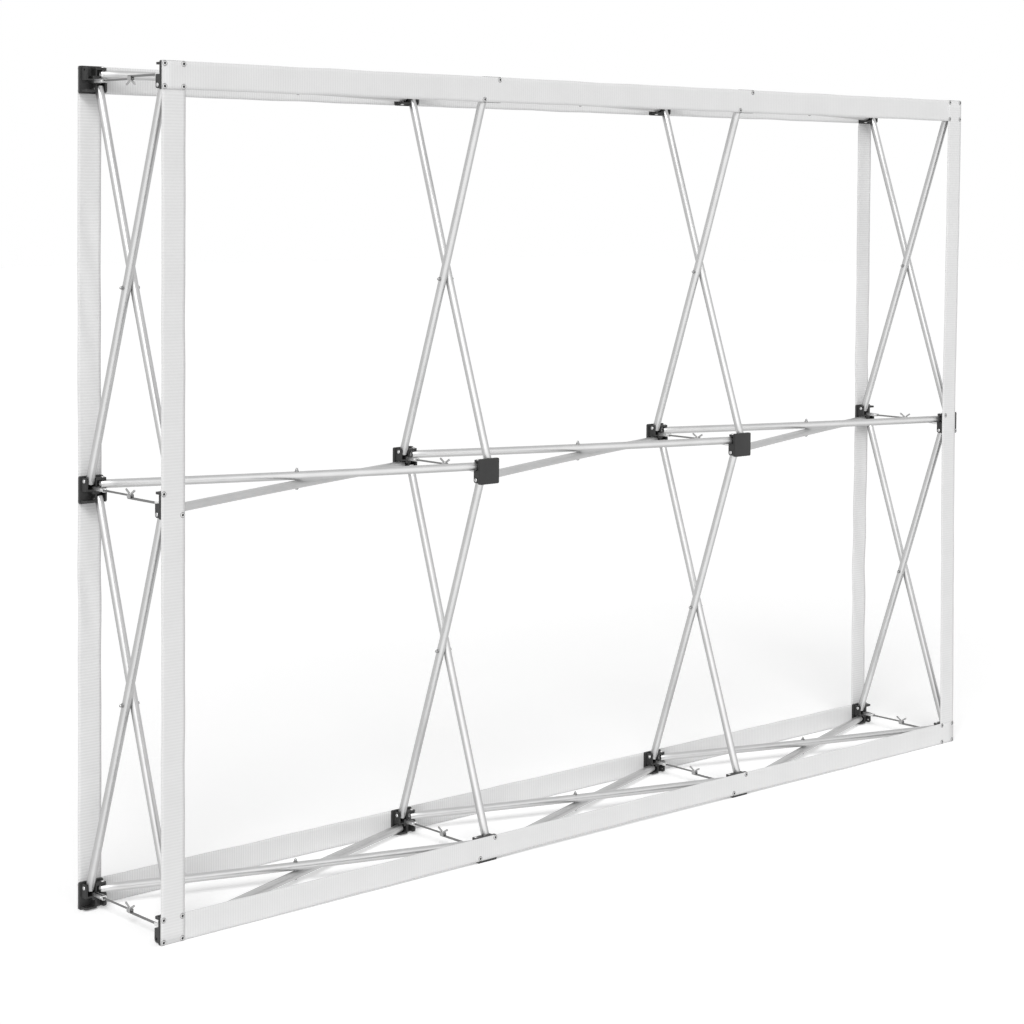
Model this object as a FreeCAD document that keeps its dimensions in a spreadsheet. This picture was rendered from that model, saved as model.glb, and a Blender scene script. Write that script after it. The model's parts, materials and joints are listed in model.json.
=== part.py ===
import FreeCAD, Part
import os
import Sketcher

# The bare folding frame of a straight pop-up banner wall.
# Millimetres, +Z up, the floor at z = 0. The wall runs along X and its front faces -Y.
# Two layers of hubs are joined by crossed pairs of tubes, along the wall and up it. Every tube is as long as
# the others, so the frame folds to a bundle with all hubs staying square to each other.

# Counts
COLUMNS = 4
ROW_NAMES = ("bottom", "middle", "top")
LAYERS = ("front", "back")
SIDES = ("right", "top", "left", "bottom")
TUBE_SIDES = 14
PIN_SIDES = 6
ROD_SIDES = 6
STEP_DIR = "parts"

# Driving dimensions
SIZES = {
    # lattice: hub to hub both ways, and outer face to outer face
    "bay_pitch": 740.0,
    "frame_depth": 264.0,
    # hub moulding; depths are measured from its outer face
    "hub_size": 50.0,
    "hub_corner": 2.0,
    "plate_thick": 6.0,
    "boss_size": 14.0,
    "boss_depth": 20.0,
    "web_thick": 3.0,
    "web_depth": 21.0,
    "lug_thick": 4.0,
    "lug_inset": 3.0,
    "lug_depth": 22.0,
    "lug_corner": 4.0,
    # hinge pins through the tube ends
    "pin_dia": 5.0,
    "pin_inset": 8.0,
    "pin_depth": 15.5,
    "pin_clear": 0.1,
    # tubes, each running close beside the web arms of its hubs
    "tube_dia": 16.0,
    "tube_past_pin": 4.5,
    "tube_clear": 0.25,
    "rivet_stand": 5.0,
    # struts between the layers
    "bracket_width": 9.0,
    "bracket_height": 7.0,
    "bracket_wall": 1.2,
    "bracket_length": 29.0,
    "front_rod_dia": 4.6,
    "back_rod_dia": 3.8,
    "rod_inset": 5.0,
    "rod_lap": 14.0,
    "rod_clear": 0.5,
    # wing latch on the lap of the strut halves
    "latch_wall": 1.2,
    "latch_length": 15.0,
    "wing_reach": 16.0,
    "wing_height": 8.0,
    "wing_thick": 1.6,
    # loop-tape strips
    "strip_inset": 0.5,
    "strip_thick": 1.2,
    "strip_ramp": 12.0,
}

# Derived dimensions, worked out from the ones above
DERIVED = {
    "pin_reach": "Dims.hub_size / 2 - Dims.pin_inset",
    "lug_face": "Dims.hub_size / 2 - Dims.lug_inset - Dims.lug_thick",
    "tube_offset": "(Dims.web_thick + Dims.tube_dia) / 2 + Dims.tube_clear",
    "tube_run": "Dims.bay_pitch - 2 * Derived.pin_reach",
    "tube_rise": "Dims.frame_depth - 2 * Dims.pin_depth",
    "tube_length": "hypot(Derived.tube_run; Derived.tube_rise)",
    "tube_angle": "atan2(Derived.tube_rise; Derived.tube_run)",
    "strip_width": "Dims.hub_size - 2 * Dims.strip_inset",
    "wall_width": f"{COLUMNS - 1} * Dims.bay_pitch + Derived.strip_width",
    "wall_height": f"{len(ROW_NAMES) - 1} * Dims.bay_pitch + Derived.strip_width",
}

X_AXIS = FreeCAD.Vector(1, 0, 0)
Y_AXIS = FreeCAD.Vector(0, 1, 0)
Z_AXIS = FreeCAD.Vector(0, 0, 1)
HALF_TURN = 180.0
QUARTER_TURN = 90.0


def make_sheet(doc):
    """Put the driving dimensions into a sheet and the derived ones beside it."""
    sheet = doc.addObject("Spreadsheet::Sheet", "Dims")
    for row, (alias, value) in enumerate(SIZES.items(), start=1):
        sheet.set(f"A{row}", alias)
        sheet.set(f"B{row}", str(value))
        sheet.setAlias(f"B{row}", alias)
    doc.recompute()
    derived = doc.addObject("App::VarSet", "Derived")
    for name, formula in DERIVED.items():
        kind = "App::PropertyAngle" if name.endswith("angle") else "App::PropertyFloat"
        derived.addProperty(kind, name)
        derived.setExpression(name, formula)
        doc.recompute()
    return sheet


def bind(thing, **formulas):
    """Bind properties of one object to formulas."""
    for name, formula in formulas.items():
        thing.setExpression(name, formula)


def add(doc, kind, label, **formulas):
    """Add one object of the document by its label, with bound sizes."""
    thing = doc.addObject(kind, label)
    thing.Label = label
    bind(thing, **formulas)
    return thing


def group(doc, label, links, rotation=None, place=("0", "0", "0")):
    """One labelled group of shapes, turned and then put at a bound place."""
    thing = add(doc, "Part::Compound", label)
    thing.Links = links
    if rotation is not None:
        thing.Placement = FreeCAD.Placement(FreeCAD.Vector(), rotation)
    for axis, formula in zip("xyz", place):
        thing.setExpression(f"Placement.Base.{axis}", formula)
    return thing


def start_sketch(body, name, plane, lift=None):
    """A sketch on one of the body's own origin planes, lifted off it by a formula."""
    sketch = body.newObject("Sketcher::SketchObject", name)
    support = [item for item in body.Origin.OriginFeatures if item.Role == plane]
    sketch.AttachmentSupport = [(support[0], "")]
    sketch.MapMode = "FlatFace"
    if lift is not None:
        sketch.setExpression("AttachmentOffset.Base.z", lift)
    return sketch


def fix_corner(sketch, edge, axis, formula, value):
    """Hold the start of an edge at a formula's distance from the sketch's own axis."""
    if formula == "0":
        line = -2 if axis == "X" else -1
        sketch.addConstraint(Sketcher.Constraint("PointOnObject", edge, 1, line))
        return
    index = sketch.addConstraint(Sketcher.Constraint(f"Distance{axis}", -1, 1, edge, 1, value))
    sketch.setExpression(f"Constraints[{index}]", formula)


def draw_polygons(sketch, polygons):
    """Closed polygons whose corners are pairs of formulas."""
    for corners in polygons:
        values = [[float(sketch.evalExpression(formula)) for formula in corner] for corner in corners]
        points = [FreeCAD.Vector(*value, 0) for value in values]
        first = sketch.GeometryCount
        for number, point in enumerate(points):
            sketch.addGeometry(Part.LineSegment(point, points[(number + 1) % len(points)]))
        for number, corner in enumerate(corners):
            follower = first + (number + 1) % len(points)
            sketch.addConstraint(Sketcher.Constraint("Coincident", first + number, 2, follower, 1))
            for axis, formula, value in zip("XY", corner, values[number]):
                fix_corner(sketch, first + number, axis, formula, value)


def extrude(body, kind, name, sketch, length=None, back=None, symmetric=False, flip=False):
    """Pad or pocket one sketch: one way, both ways by two lengths, or evenly about its plane."""
    feature = body.newObject(f"PartDesign::{kind}", name)
    feature.Profile = sketch
    feature.Reversed = flip
    if length is None:
        feature.Type = "ThroughAll"
    else:
        feature.setExpression("Length", length)
    if symmetric:
        feature.SideType = "Symmetric"
    if back is not None:
        feature.SideType = "Two sides"
        feature.setExpression("Length2", back)
    body.Tip = feature
    sketch.Visibility = False
    return feature


def rectangle(left, right, low, high):
    """The corners of a rectangle from four formulas."""
    return [(left, low), (right, low), (right, high), (left, high)]


def regular_polygon(middle, radius, sides):
    """The corners of an even polygon on the sketch's first axis, on a circle of the given radius."""
    step = 2 * HALF_TURN / sides
    corners = []
    for number in range(sides):
        turn = f"{(number + 1 / 2) * step} deg"
        corners.append((f"{middle} + ({radius}) * cos({turn})", f"({radius}) * sin({turn})"))
    return corners


def make_hub(doc):
    """The hub moulding: plate and boss, and a web arm and a lug patterned four times round them.

    Its outer face is at z = 0 and z points into the frame. The right-hand clevis is the drawn one. Its lug stands
    on the top arm's end, so the arms and lugs make four hooks that follow each other round the hub.
    """
    body = add(doc, "PartDesign::Body", "hub_moulding")
    edge = "Dims.hub_size / 2"
    cut = f"({edge} - Dims.hub_corner)"
    plate = start_sketch(body, "hub_plate_outline", "XY_Plane")
    draw_polygons(plate, [[
        (cut, f"-({edge})"), (edge, f"-{cut}"), (edge, cut), (cut, edge),
        (f"-{cut}", edge), (f"-({edge})", cut), (f"-({edge})", f"-{cut}"), (f"-{cut}", f"-({edge})"),
    ]])
    extrude(body, "Pad", "hub_plate", plate, "Dims.plate_thick")

    half_boss = "Dims.boss_size / 2"
    boss = start_sketch(body, "hub_boss_outline", "XY_Plane")
    draw_polygons(boss, [rectangle(f"-{half_boss}", half_boss, f"-{half_boss}", half_boss)])
    extrude(body, "Pad", "hub_boss", boss, "Dims.boss_depth")

    arm = start_sketch(body, "hub_arm_outline", "XY_Plane")
    arm_end = "Derived.lug_face + Dims.lug_thick"
    draw_polygons(arm, [rectangle(half_boss, arm_end, "-Dims.web_thick / 2", "Dims.web_thick / 2")])
    arm_pad = extrude(body, "Pad", "hub_arm", arm, "Dims.web_depth")

    lug = start_sketch(body, "hub_lug_outline", "XZ_Plane", lift="-Derived.lug_face")
    lug_from = "-Dims.web_thick / 2"
    draw_polygons(lug, [[
        (lug_from, "0"), (cut, "0"), (cut, "Dims.lug_depth - Dims.lug_corner"),
        (f"{cut} - Dims.lug_corner", "Dims.lug_depth"), (lug_from, "Dims.lug_depth"),
    ]])
    lug_pad = extrude(body, "Pad", "hub_lug", lug, "Dims.lug_thick", flip=True)

    pattern = body.newObject("PartDesign::PolarPattern", "hub_four_clevises")
    pattern.Originals = [arm_pad, lug_pad]
    axis = [item for item in body.Origin.OriginFeatures if item.Role == "Z_Axis"]
    pattern.Axis = (axis[0], [""])
    pattern.Angle = 2 * HALF_TURN
    pattern.Occurrences = len(SIDES)
    body.Tip = pattern
    return body


def make_pins(doc):
    """One hinge pin for each clevis, with its ends set into the web arm and the lug."""
    pin = add(
        doc, "Part::Prism", "hinge_pin",
        Circumradius="Dims.pin_dia / 2",
        Height="Derived.lug_face + Dims.lug_thick / 2",
    )
    pin.Polygon = PIN_SIDES
    pin.Placement = FreeCAD.Placement(FreeCAD.Vector(), FreeCAD.Rotation(X_AXIS, -QUARTER_TURN))
    bind(pin, **{"Placement.Base.x": "Derived.pin_reach", "Placement.Base.z": "Dims.pin_depth"})
    turned = {}
    for number, side in enumerate(SIDES):
        turn = FreeCAD.Rotation(Z_AXIS, number * QUARTER_TURN)
        turned[side] = group(doc, f"hinge_pin_{side}", [pin], turn)
    return turned


def make_rod(doc, label, dia, height):
    """A strut rod with flats, lying on its bracket's floor at the given height."""
    rod = add(
        doc, "Part::Prism", label,
        Circumradius=f"Dims.{dia} / 2 / cos({HALF_TURN / ROD_SIDES} deg)",
        Height="(Dims.frame_depth + Dims.rod_lap) / 2 - Dims.boss_depth - Dims.rod_inset",
    )
    rod.Polygon = ROD_SIDES
    flat_down = FreeCAD.Rotation(Z_AXIS, QUARTER_TURN - HALF_TURN / ROD_SIDES)
    rod.Placement = FreeCAD.Placement(FreeCAD.Vector(), flat_down)
    bind(rod, **{
        "Placement.Base.y": f"{height} + Dims.{dia} / 2",
        "Placement.Base.z": "Dims.boss_depth + Dims.rod_inset",
    })
    return rod


def make_bracket(doc, label, floor):
    """The bent channel that stands on a hub's boss, open upwards, with its floor's top at a height."""
    body = add(doc, "PartDesign::Body", label)
    sketch = start_sketch(body, f"{label}_outline", "XY_Plane", lift="Dims.boss_depth")
    outer = "Dims.bracket_width / 2"
    inner = f"({outer} - Dims.bracket_wall)"
    low = f"{floor} - Dims.bracket_wall"
    high = f"{low} + Dims.bracket_height"
    draw_polygons(sketch, [[
        (f"-{outer}", low), (outer, low), (outer, high), (inner, high),
        (inner, floor), (f"-{inner}", floor), (f"-{inner}", high), (f"-{outer}", high),
    ]])
    extrude(body, "Pad", f"{label}_channel", sketch, "Dims.bracket_length")
    return body


def make_latch(doc):
    """The wing latch: a saddle over the lapped rods, on the back one, with two finger tabs in a V."""
    body = add(doc, "PartDesign::Body", "wing_latch")
    middle = "Dims.frame_depth / 2"
    top = "(Dims.rod_clear / 2 + Dims.back_rod_dia)"
    foot = "-(Dims.rod_clear / 2 + Dims.front_rod_dia / 2)"
    roof = f"({top} + Dims.latch_wall)"
    inner = f"(Dims.front_rod_dia / 2 / cos({HALF_TURN / ROD_SIDES} deg) + Dims.rod_clear)"
    outer = f"({inner} + Dims.latch_wall)"
    saddle = start_sketch(body, "latch_saddle_outline", "XY_Plane", lift=middle)
    draw_polygons(saddle, [[
        (f"-{outer}", foot), (f"-{inner}", foot), (f"-{inner}", top), (inner, top),
        (inner, foot), (outer, foot), (outer, roof), (f"-{outer}", roof),
    ]])
    extrude(body, "Pad", "latch_saddle", saddle, "Dims.latch_length", symmetric=True)

    wings = start_sketch(body, "latch_wing_outline", "YZ_Plane")
    tip = f"{roof} + Dims.wing_height"
    draw_polygons(wings, [[
        (top, middle),
        (tip, f"{middle} + Dims.wing_reach"),
        (tip, f"{middle} + Dims.wing_reach - 2 * Dims.wing_thick"),
        (f"{roof} + Dims.wing_thick", middle),
        (tip, f"{middle} - Dims.wing_reach + 2 * Dims.wing_thick"),
        (tip, f"{middle} - Dims.wing_reach"),
    ]])
    extrude(body, "Pad", "latch_wings", wings, f"2 * {inner}", symmetric=True)
    return body


def make_struts(doc):
    """Both halves of a depth strut, upright and turned over, by layer and by whether they are turned."""
    back_floor = "Dims.rod_clear / 2"
    front_floor = "-(Dims.rod_clear / 2 + Dims.front_rod_dia)"
    pieces = {
        "front": [
            make_bracket(doc, "front_strut_bracket", front_floor),
            make_rod(doc, "front_strut_rod", "front_rod_dia", front_floor),
        ],
        "back": [
            make_bracket(doc, "back_strut_bracket", back_floor),
            make_rod(doc, "back_strut_rod", "back_rod_dia", back_floor),
            make_latch(doc),
        ],
    }
    struts = {}
    for layer in LAYERS:
        struts[layer, False] = group(doc, f"{layer}_strut", pieces[layer])
        turn = FreeCAD.Rotation(Z_AXIS, HALF_TURN)
        struts[layer, True] = group(doc, f"{layer}_strut_turned", pieces[layer], turn)
    return struts


def make_tube(doc, label, with_rivet):
    """One tube along X with its pin axes along Z: pin holes at the ends, and a centre hole or rivet."""
    body = add(doc, "PartDesign::Body", label)
    radius = "Dims.tube_dia / 2"
    half = "(Derived.tube_length / 2 + Dims.tube_past_pin)"
    round_bar = start_sketch(body, f"{label}_section", "YZ_Plane")
    draw_polygons(round_bar, [regular_polygon("0", radius, TUBE_SIDES)])
    extrude(body, "Pad", f"{label}_bar", round_bar, f"2 * {half}", symmetric=True)

    hole = f"(Dims.pin_dia / 2 + Dims.pin_clear) / cos({HALF_TURN / PIN_SIDES} deg)"
    places = ["-Derived.tube_length / 2", "Derived.tube_length / 2"]
    if not with_rivet:
        places.append("0")
    holes = start_sketch(body, f"{label}_hole_outline", "XY_Plane")
    draw_polygons(holes, [regular_polygon(place, hole, PIN_SIDES) for place in places])
    extrude(body, "Pocket", f"{label}_holes", holes, symmetric=True)

    if with_rivet:
        rivet = start_sketch(body, f"{label}_rivet_outline", "XY_Plane")
        draw_polygons(rivet, [regular_polygon("0", "Dims.pin_dia / 2", PIN_SIDES)])
        past = f"{radius} + Dims.rivet_stand"
        extrude(body, "Pad", f"{label}_rivet", rivet, f"2 * Derived.tube_offset + {past}", back=past)
    return body


def make_strip(doc, label, along_x, length):
    """A loop-tape strip on the hubs' outer faces, its lower end stepped up to lap over its neighbour."""
    body = add(doc, "PartDesign::Body", label)
    half = f"{length} / 2"
    step = f"(-{half} + Derived.strip_width + Dims.strip_thick)"
    ramp = f"({step} + Dims.strip_ramp)"
    corners = [
        (half, "0"), (ramp, "0"), (step, "-Dims.strip_thick"), (f"-{half}", "-Dims.strip_thick"),
        (f"-{half}", "-2 * Dims.strip_thick"), (step, "-2 * Dims.strip_thick"),
        (ramp, "-Dims.strip_thick"), (half, "-Dims.strip_thick"),
    ]
    if not along_x:
        corners = [(out, along) for along, out in corners]
    sketch = start_sketch(body, f"{label}_profile", "XY_Plane" if along_x else "YZ_Plane")
    draw_polygons(sketch, [corners])
    extrude(body, "Pad", f"{label}_tape", sketch, "Derived.strip_width", symmetric=True)
    return body


def column_x(column):
    """The formula for a column's place along the wall; half columns are the middles of bays."""
    return f"{column - (COLUMNS - 1) / 2} * Dims.bay_pitch"


def row_z(row):
    """The formula for a row's height; half rows are the middles of bays."""
    return f"Dims.hub_size / 2 + {row} * Dims.bay_pitch"


def used_sides(layer, column, row):
    """The sides of a hub, as its own mould names them, that hold a tube. Front hubs are turned about Z."""
    outward = {"right": column < COLUMNS - 1, "left": column > 0}
    right, left = ("right", "left") if layer == "back" else ("left", "right")
    sides = {
        right: outward["right"],
        left: outward["left"],
        "top": row < len(ROW_NAMES) - 1,
        "bottom": row > 0,
    }
    return tuple(side for side in SIDES if sides[side])


def build_hubs(doc):
    """A node for each hub: the moulding with its pins, and its half of the depth strut."""
    moulding = make_hub(doc)
    pins = make_pins(doc)
    struts = make_struts(doc)
    turns = {
        "front": FreeCAD.Rotation(Y_AXIS + Z_AXIS, HALF_TURN),
        "back": FreeCAD.Rotation(X_AXIS, QUARTER_TURN),
    }
    faces = {"front": "-Dims.frame_depth / 2", "back": "Dims.frame_depth / 2"}
    pinned = {}
    nodes = []
    for layer in LAYERS:
        for row, row_name in enumerate(ROW_NAMES):
            for column in range(COLUMNS):
                sides = used_sides(layer, column, row)
                if sides not in pinned:
                    fused = add(doc, "Part::MultiFuse", "hub_pinned_" + "_".join(sides))
                    fused.Shapes = [moulding] + [pins[side] for side in sides]
                    fused.Refine = True
                    pinned[sides] = fused
                pieces = [pinned[sides], struts[layer, row == len(ROW_NAMES) - 1]]
                place = (column_x(column), faces[layer], row_z(row))
                label = f"{layer}_hub_{column + 1}_{row_name}"
                nodes.append(group(doc, label, pieces, turns[layer], place))
    return nodes


def place_tube(doc, label, tube, axis, sign, place):
    """A node for one tube, turned about its pin axis to the angle of the open frame."""
    node = group(doc, label, [tube], FreeCAD.Rotation(axis, QUARTER_TURN), place)
    node.setExpression("Placement.Rotation.Angle", f"{sign}Derived.tube_angle")
    return node


def build_tubes(doc):
    """A node for each tube: crossed pairs along the wall in each row, and up it in each column."""
    level = {True: make_tube(doc, "tube_with_rivet", True), False: make_tube(doc, "tube_with_hole", False)}
    stand = FreeCAD.Rotation(X_AXIS + Z_AXIS, HALF_TURN)
    upright = {key: group(doc, f"standing_{tube.Label}", [tube], stand) for key, tube in level.items()}
    offset = "Derived.tube_offset"
    nodes = []
    for row, row_name in enumerate(ROW_NAMES):
        for bay in range(COLUMNS - 1):
            for part, riveted, sign, side in (("lower", True, "", "-"), ("upper", False, "-", "+")):
                place = (column_x(bay + 1 / 2), "0", f"{row_z(row)} {side} {offset}")
                label = f"level_tube_{row_name}_bay_{bay + 1}_{part}"
                nodes.append(place_tube(doc, label, level[riveted], Z_AXIS, sign, place))
    for column in range(COLUMNS):
        for bay, bay_name in enumerate(("low", "high")):
            for part, riveted, sign, side in (("left", True, "", "-"), ("right", False, "-", "+")):
                place = (f"{column_x(column)} {side} {offset}", "0", row_z(bay + 1 / 2))
                label = f"upright_tube_{column + 1}_{bay_name}_{part}"
                nodes.append(place_tube(doc, label, upright[riveted], X_AXIS, sign, place))
    return nodes


def build_strips(doc):
    """The four strips of each layer, as one node: each laps over the next round the frame."""
    level = make_strip(doc, "level_strip", True, "Derived.wall_width")
    upright = make_strip(doc, "upright_strip", False, "Derived.wall_height")
    over = FreeCAD.Rotation(Y_AXIS, HALF_TURN)
    last_row = len(ROW_NAMES) - 1
    last_column = COLUMNS - 1
    middle = row_z(last_row / 2)
    ring = [
        group(doc, "top_strip", [level], None, ("0", "0", row_z(last_row))),
        group(doc, "left_strip", [upright], None, (column_x(0), "0", middle)),
        group(doc, "bottom_strip", [level], over, ("0", "0", row_z(0))),
        group(doc, "right_strip", [upright], over, (column_x(last_column), "0", middle)),
    ]
    face = "Dims.frame_depth / 2"
    front = group(doc, "front_strips", ring, None, ("0", f"-({face})", "0"))
    back = group(doc, "back_strips", ring, FreeCAD.Rotation(Z_AXIS, HALF_TURN), ("0", face, "0"))
    return [front, back]


def check(doc):
    """Stop where an object of the document has failed or has no good shape."""
    for thing in doc.Objects:
        if any(word in thing.State for word in ("Invalid", "Error")):
            raise RuntimeError(f"{thing.Label} failed: {thing.State}")
        if thing.isDerivedFrom("Part::Feature") and not thing.isDerivedFrom("Sketcher::SketchObject"):
            if thing.Shape.isNull() or not thing.Shape.isValid():
                raise RuntimeError(f"{thing.Label} has no good shape")


def main():
    """Build the document and write one STEP file for each node."""
    doc = FreeCAD.newDocument("banner_wall")
    make_sheet(doc)
    nodes = build_hubs(doc) + build_tubes(doc) + build_strips(doc)
    doc.recompute()
    check(doc)
    os.makedirs(STEP_DIR, exist_ok=True)
    for node in nodes:
        node.Shape.exportStep(f"{STEP_DIR}/{node.Label}.step")


main()
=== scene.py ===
import json
import math

import bpy
import numpy as np
from bpy.props import FloatProperty, FloatVectorProperty, IntProperty, PointerProperty, StringProperty
from mathutils import Matrix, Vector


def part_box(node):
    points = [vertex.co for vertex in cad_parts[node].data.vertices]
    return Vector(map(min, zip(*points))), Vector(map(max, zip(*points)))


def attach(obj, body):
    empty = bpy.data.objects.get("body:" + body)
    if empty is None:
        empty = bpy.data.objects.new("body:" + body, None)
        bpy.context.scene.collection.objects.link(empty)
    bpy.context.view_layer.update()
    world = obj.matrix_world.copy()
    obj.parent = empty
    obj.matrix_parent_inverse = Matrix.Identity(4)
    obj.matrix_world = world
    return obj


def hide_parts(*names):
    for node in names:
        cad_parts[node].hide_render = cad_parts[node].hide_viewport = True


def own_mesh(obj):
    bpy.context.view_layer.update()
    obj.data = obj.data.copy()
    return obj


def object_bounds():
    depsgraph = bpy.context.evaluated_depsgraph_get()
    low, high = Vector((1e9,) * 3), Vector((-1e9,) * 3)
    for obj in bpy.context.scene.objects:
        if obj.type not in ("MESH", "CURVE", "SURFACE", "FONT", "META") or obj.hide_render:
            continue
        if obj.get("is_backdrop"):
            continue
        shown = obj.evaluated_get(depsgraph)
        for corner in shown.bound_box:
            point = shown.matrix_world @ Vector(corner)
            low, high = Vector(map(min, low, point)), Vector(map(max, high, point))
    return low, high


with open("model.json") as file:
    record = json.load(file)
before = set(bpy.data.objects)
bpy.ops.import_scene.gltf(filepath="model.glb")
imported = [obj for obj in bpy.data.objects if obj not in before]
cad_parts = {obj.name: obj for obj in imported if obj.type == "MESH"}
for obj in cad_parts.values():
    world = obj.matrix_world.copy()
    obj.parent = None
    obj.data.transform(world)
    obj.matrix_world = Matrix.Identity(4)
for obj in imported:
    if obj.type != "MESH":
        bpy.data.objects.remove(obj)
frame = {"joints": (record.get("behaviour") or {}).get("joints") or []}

CAD_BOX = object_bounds()

bl_info = {
    "name": "Banner wall dressing",
    "version": (1, 0, 0),
    "blender": (4, 5, 0),
    "location": "View3D > Sidebar > Banner wall",
    "description": "Hubs, tubes, struts and loop tape of a folding banner wall, around its packed frame",
    "category": "Object",
}

MM = 0.001
COLUMNS = 4
ROWS = ("bottom", "middle", "top")
LAYERS = ("front", "back")
BAYS = ("low", "high")
FOLD = "fold"
TAU = 2 * math.pi
LAST_COLUMN, LAST_ROW = COLUMNS - 1, len(ROWS) - 1


# Frame readings

def hub_name(layer, column, row):
    """The CAD node, and body, of one hub."""
    return f"{layer}_hub_{column + 1}_{ROWS[row]}"


def hub_face(layer, column, row):
    """The middle of a hub's outer face, from its node's box."""
    low, high = (np.array(corner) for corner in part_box(hub_name(layer, column, row)))
    middle = (low + high) / 2
    middle[1] = low[1] if layer == "front" else high[1]
    return middle


def hubs_of(layer):
    """Every hub of a layer: its column, its row, its body and the middle of its outer face."""
    for column in range(COLUMNS):
        for row in range(len(ROWS)):
            yield column, row, hub_name(layer, column, row), hub_face(layer, column, row)


HUB_LOW, HUB_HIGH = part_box(hub_name("front", 0, 0))
HUB_SIZE = float(HUB_HIGH[0] - HUB_LOW[0])
PITCH = float(hub_face("front", 1, 0)[0] - hub_face("front", 0, 0)[0])
FRAME_DEPTH = float(hub_face("back", 0, 0)[1] - hub_face("front", 0, 0)[1])


# Mesh arrays: a shell is (points, faces)

def turn_about(axis, degrees):
    """A rotation about a main axis, as a 3 by 3 array."""
    return np.array(Matrix.Rotation(math.radians(degrees), 3, axis))


def moved(shell, turn=None, shift=(0, 0, 0)):
    """A shell turned by a 3 by 3 array and then shifted."""
    points, faces = shell
    turned = points if turn is None else points @ turn.T
    return turned + np.asarray(shift, float), faces


def joined(*shells):
    """Several shells as one, with their faces counted on."""
    points, faces, first = [], [], 0
    for shell_points, shell_faces in shells:
        points.append(shell_points)
        faces.extend([tuple(corner + first for corner in face) for face in shell_faces])
        first += len(shell_points)
    return np.concatenate(points), faces


def skin(rings, loop=False):
    """Rings of equal count joined into one closed shell: point (i, j) is ring i, place j.

    Neighbouring rings are joined by quads. The ends are capped, or joined to each other where loop is set.
    The faces are turned outwards by the sign of the shell's volume.
    """
    count, sides = rings.shape[:2]
    points = rings.reshape(-1, 3)
    rows = np.arange(count if loop else count - 1)[:, None]
    here = np.arange(sides)[None, :]
    after = (here + 1) % sides
    below, above = rows * sides, ((rows + 1) % count) * sides
    quads = np.stack([below + here, below + after, above + after, above + here], axis=-1).reshape(-1, 4)
    a, b, c, d = (points[quads[:, k]] for k in range(4))
    volume = np.sum(np.cross(b - a, c - a) * a) + np.sum(np.cross(c - a, d - a) * a)
    if not loop:
        ends = rings[[0, -1]]
        centre = ends.mean(axis=1, keepdims=True)
        spans = np.cross(ends - centre, np.roll(ends, -1, axis=1) - centre).sum(axis=1)
        volume += np.sum(spans[1] * centre[1]) - np.sum(spans[0] * centre[0])
    faces = quads.tolist()
    if not loop:
        faces += [list(range(sides))[::-1], list(range((count - 1) * sides, count * sides))]
    if volume < 0:
        faces = [face[::-1] for face in faces]
    return points.copy(), faces


def rounded(corners, radii, steps=5):
    """An outline with its corners rounded: each corner is replaced by an arc tangent to both its edges.

    For a corner with half angle h and radius r, the arc starts r / tan(h) along each edge.
    """
    corners = np.asarray(corners, float)
    radii = np.broadcast_to(radii, len(corners))
    pieces = []
    for number, corner in enumerate(corners):
        back = corners[number - 1] - corner
        on = corners[(number + 1) % len(corners)] - corner
        back, on = back / np.linalg.norm(back), on / np.linalg.norm(on)
        half = math.acos(np.clip(back @ on, -1, 1)) / 2
        radius = radii[number]
        if radius <= 0:
            pieces.append(corner[None, :])
            continue
        middle = corner + (back + on) / np.linalg.norm(back + on) * radius / math.sin(half)
        first = corner + back * radius / math.tan(half) - middle
        last = corner + on * radius / math.tan(half) - middle
        start = math.atan2(first[1], first[0])
        sweep = (math.atan2(last[1], last[0]) - start + math.pi) % TAU - math.pi
        angles = start + sweep * np.linspace(0, 1, steps + 1)
        pieces.append(arc(middle, radius, angles))
    return np.concatenate(pieces)


def box_outline(left, right, low, high):
    """The four corners of a rectangle."""
    return [(left, low), (right, low), (right, high), (left, high)]


def prism(outline, low, high):
    """An outline in x and y carried along z."""
    heights = np.array([low, high])[:, None]
    rings = np.empty((2, len(outline), 3))
    rings[:, :, :2] = outline
    rings[:, :, 2] = heights
    return skin(rings)


def lathe(profile, sides=20):
    """A profile of (radius, height) pairs turned about z: (r cos a, r sin a, h)."""
    profile = np.asarray(profile, float)
    angles = np.arange(sides) * TAU / sides
    rings = np.empty((len(profile), sides, 3))
    rings[:, :, 0] = profile[:, :1] * np.cos(angles)
    rings[:, :, 1] = profile[:, :1] * np.sin(angles)
    rings[:, :, 2] = profile[:, 1:]
    return skin(rings)


def dome(radius, height, base, steps=5, round_share=0.94):
    """A lathe profile of a low dome: radius times cos(t), height times sin(t).

    t runs over a share of a quarter turn, which leaves a small flat at the top.
    """
    turn = np.linspace(0, round_share * math.pi / 2, steps)
    return np.stack([radius * np.cos(turn), base + height * np.sin(turn)], axis=1)


def arc(middle, radius, angles):
    """Points on a circle: the middle plus radius times (cos a, sin a)."""
    return middle + radius * np.stack([np.cos(angles), np.sin(angles)], axis=1)


def in_scene(name, data):
    """A new object in the scene, of a mesh, a camera or a lamp."""
    made = bpy.data.objects.new(name, data)
    bpy.context.scene.collection.objects.link(made)
    return made


def mesh_of(name, shell):
    """A new mesh from a shell."""
    points, faces = shell
    mesh = bpy.data.meshes.new(name)
    mesh.from_pydata(points.tolist(), [], faces)
    return mesh


def make_piece(name, shell, *finishes, smooth_angle=40):
    """A Blender object at the origin from a shell, with its finishes and smooth shading up to an angle."""
    mesh = mesh_of(name, shell)
    mesh.validate()
    for word in finishes:
        mesh.materials.append(finish(word))
    shade(mesh, smooth_angle)
    return in_scene(name, mesh)


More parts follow.
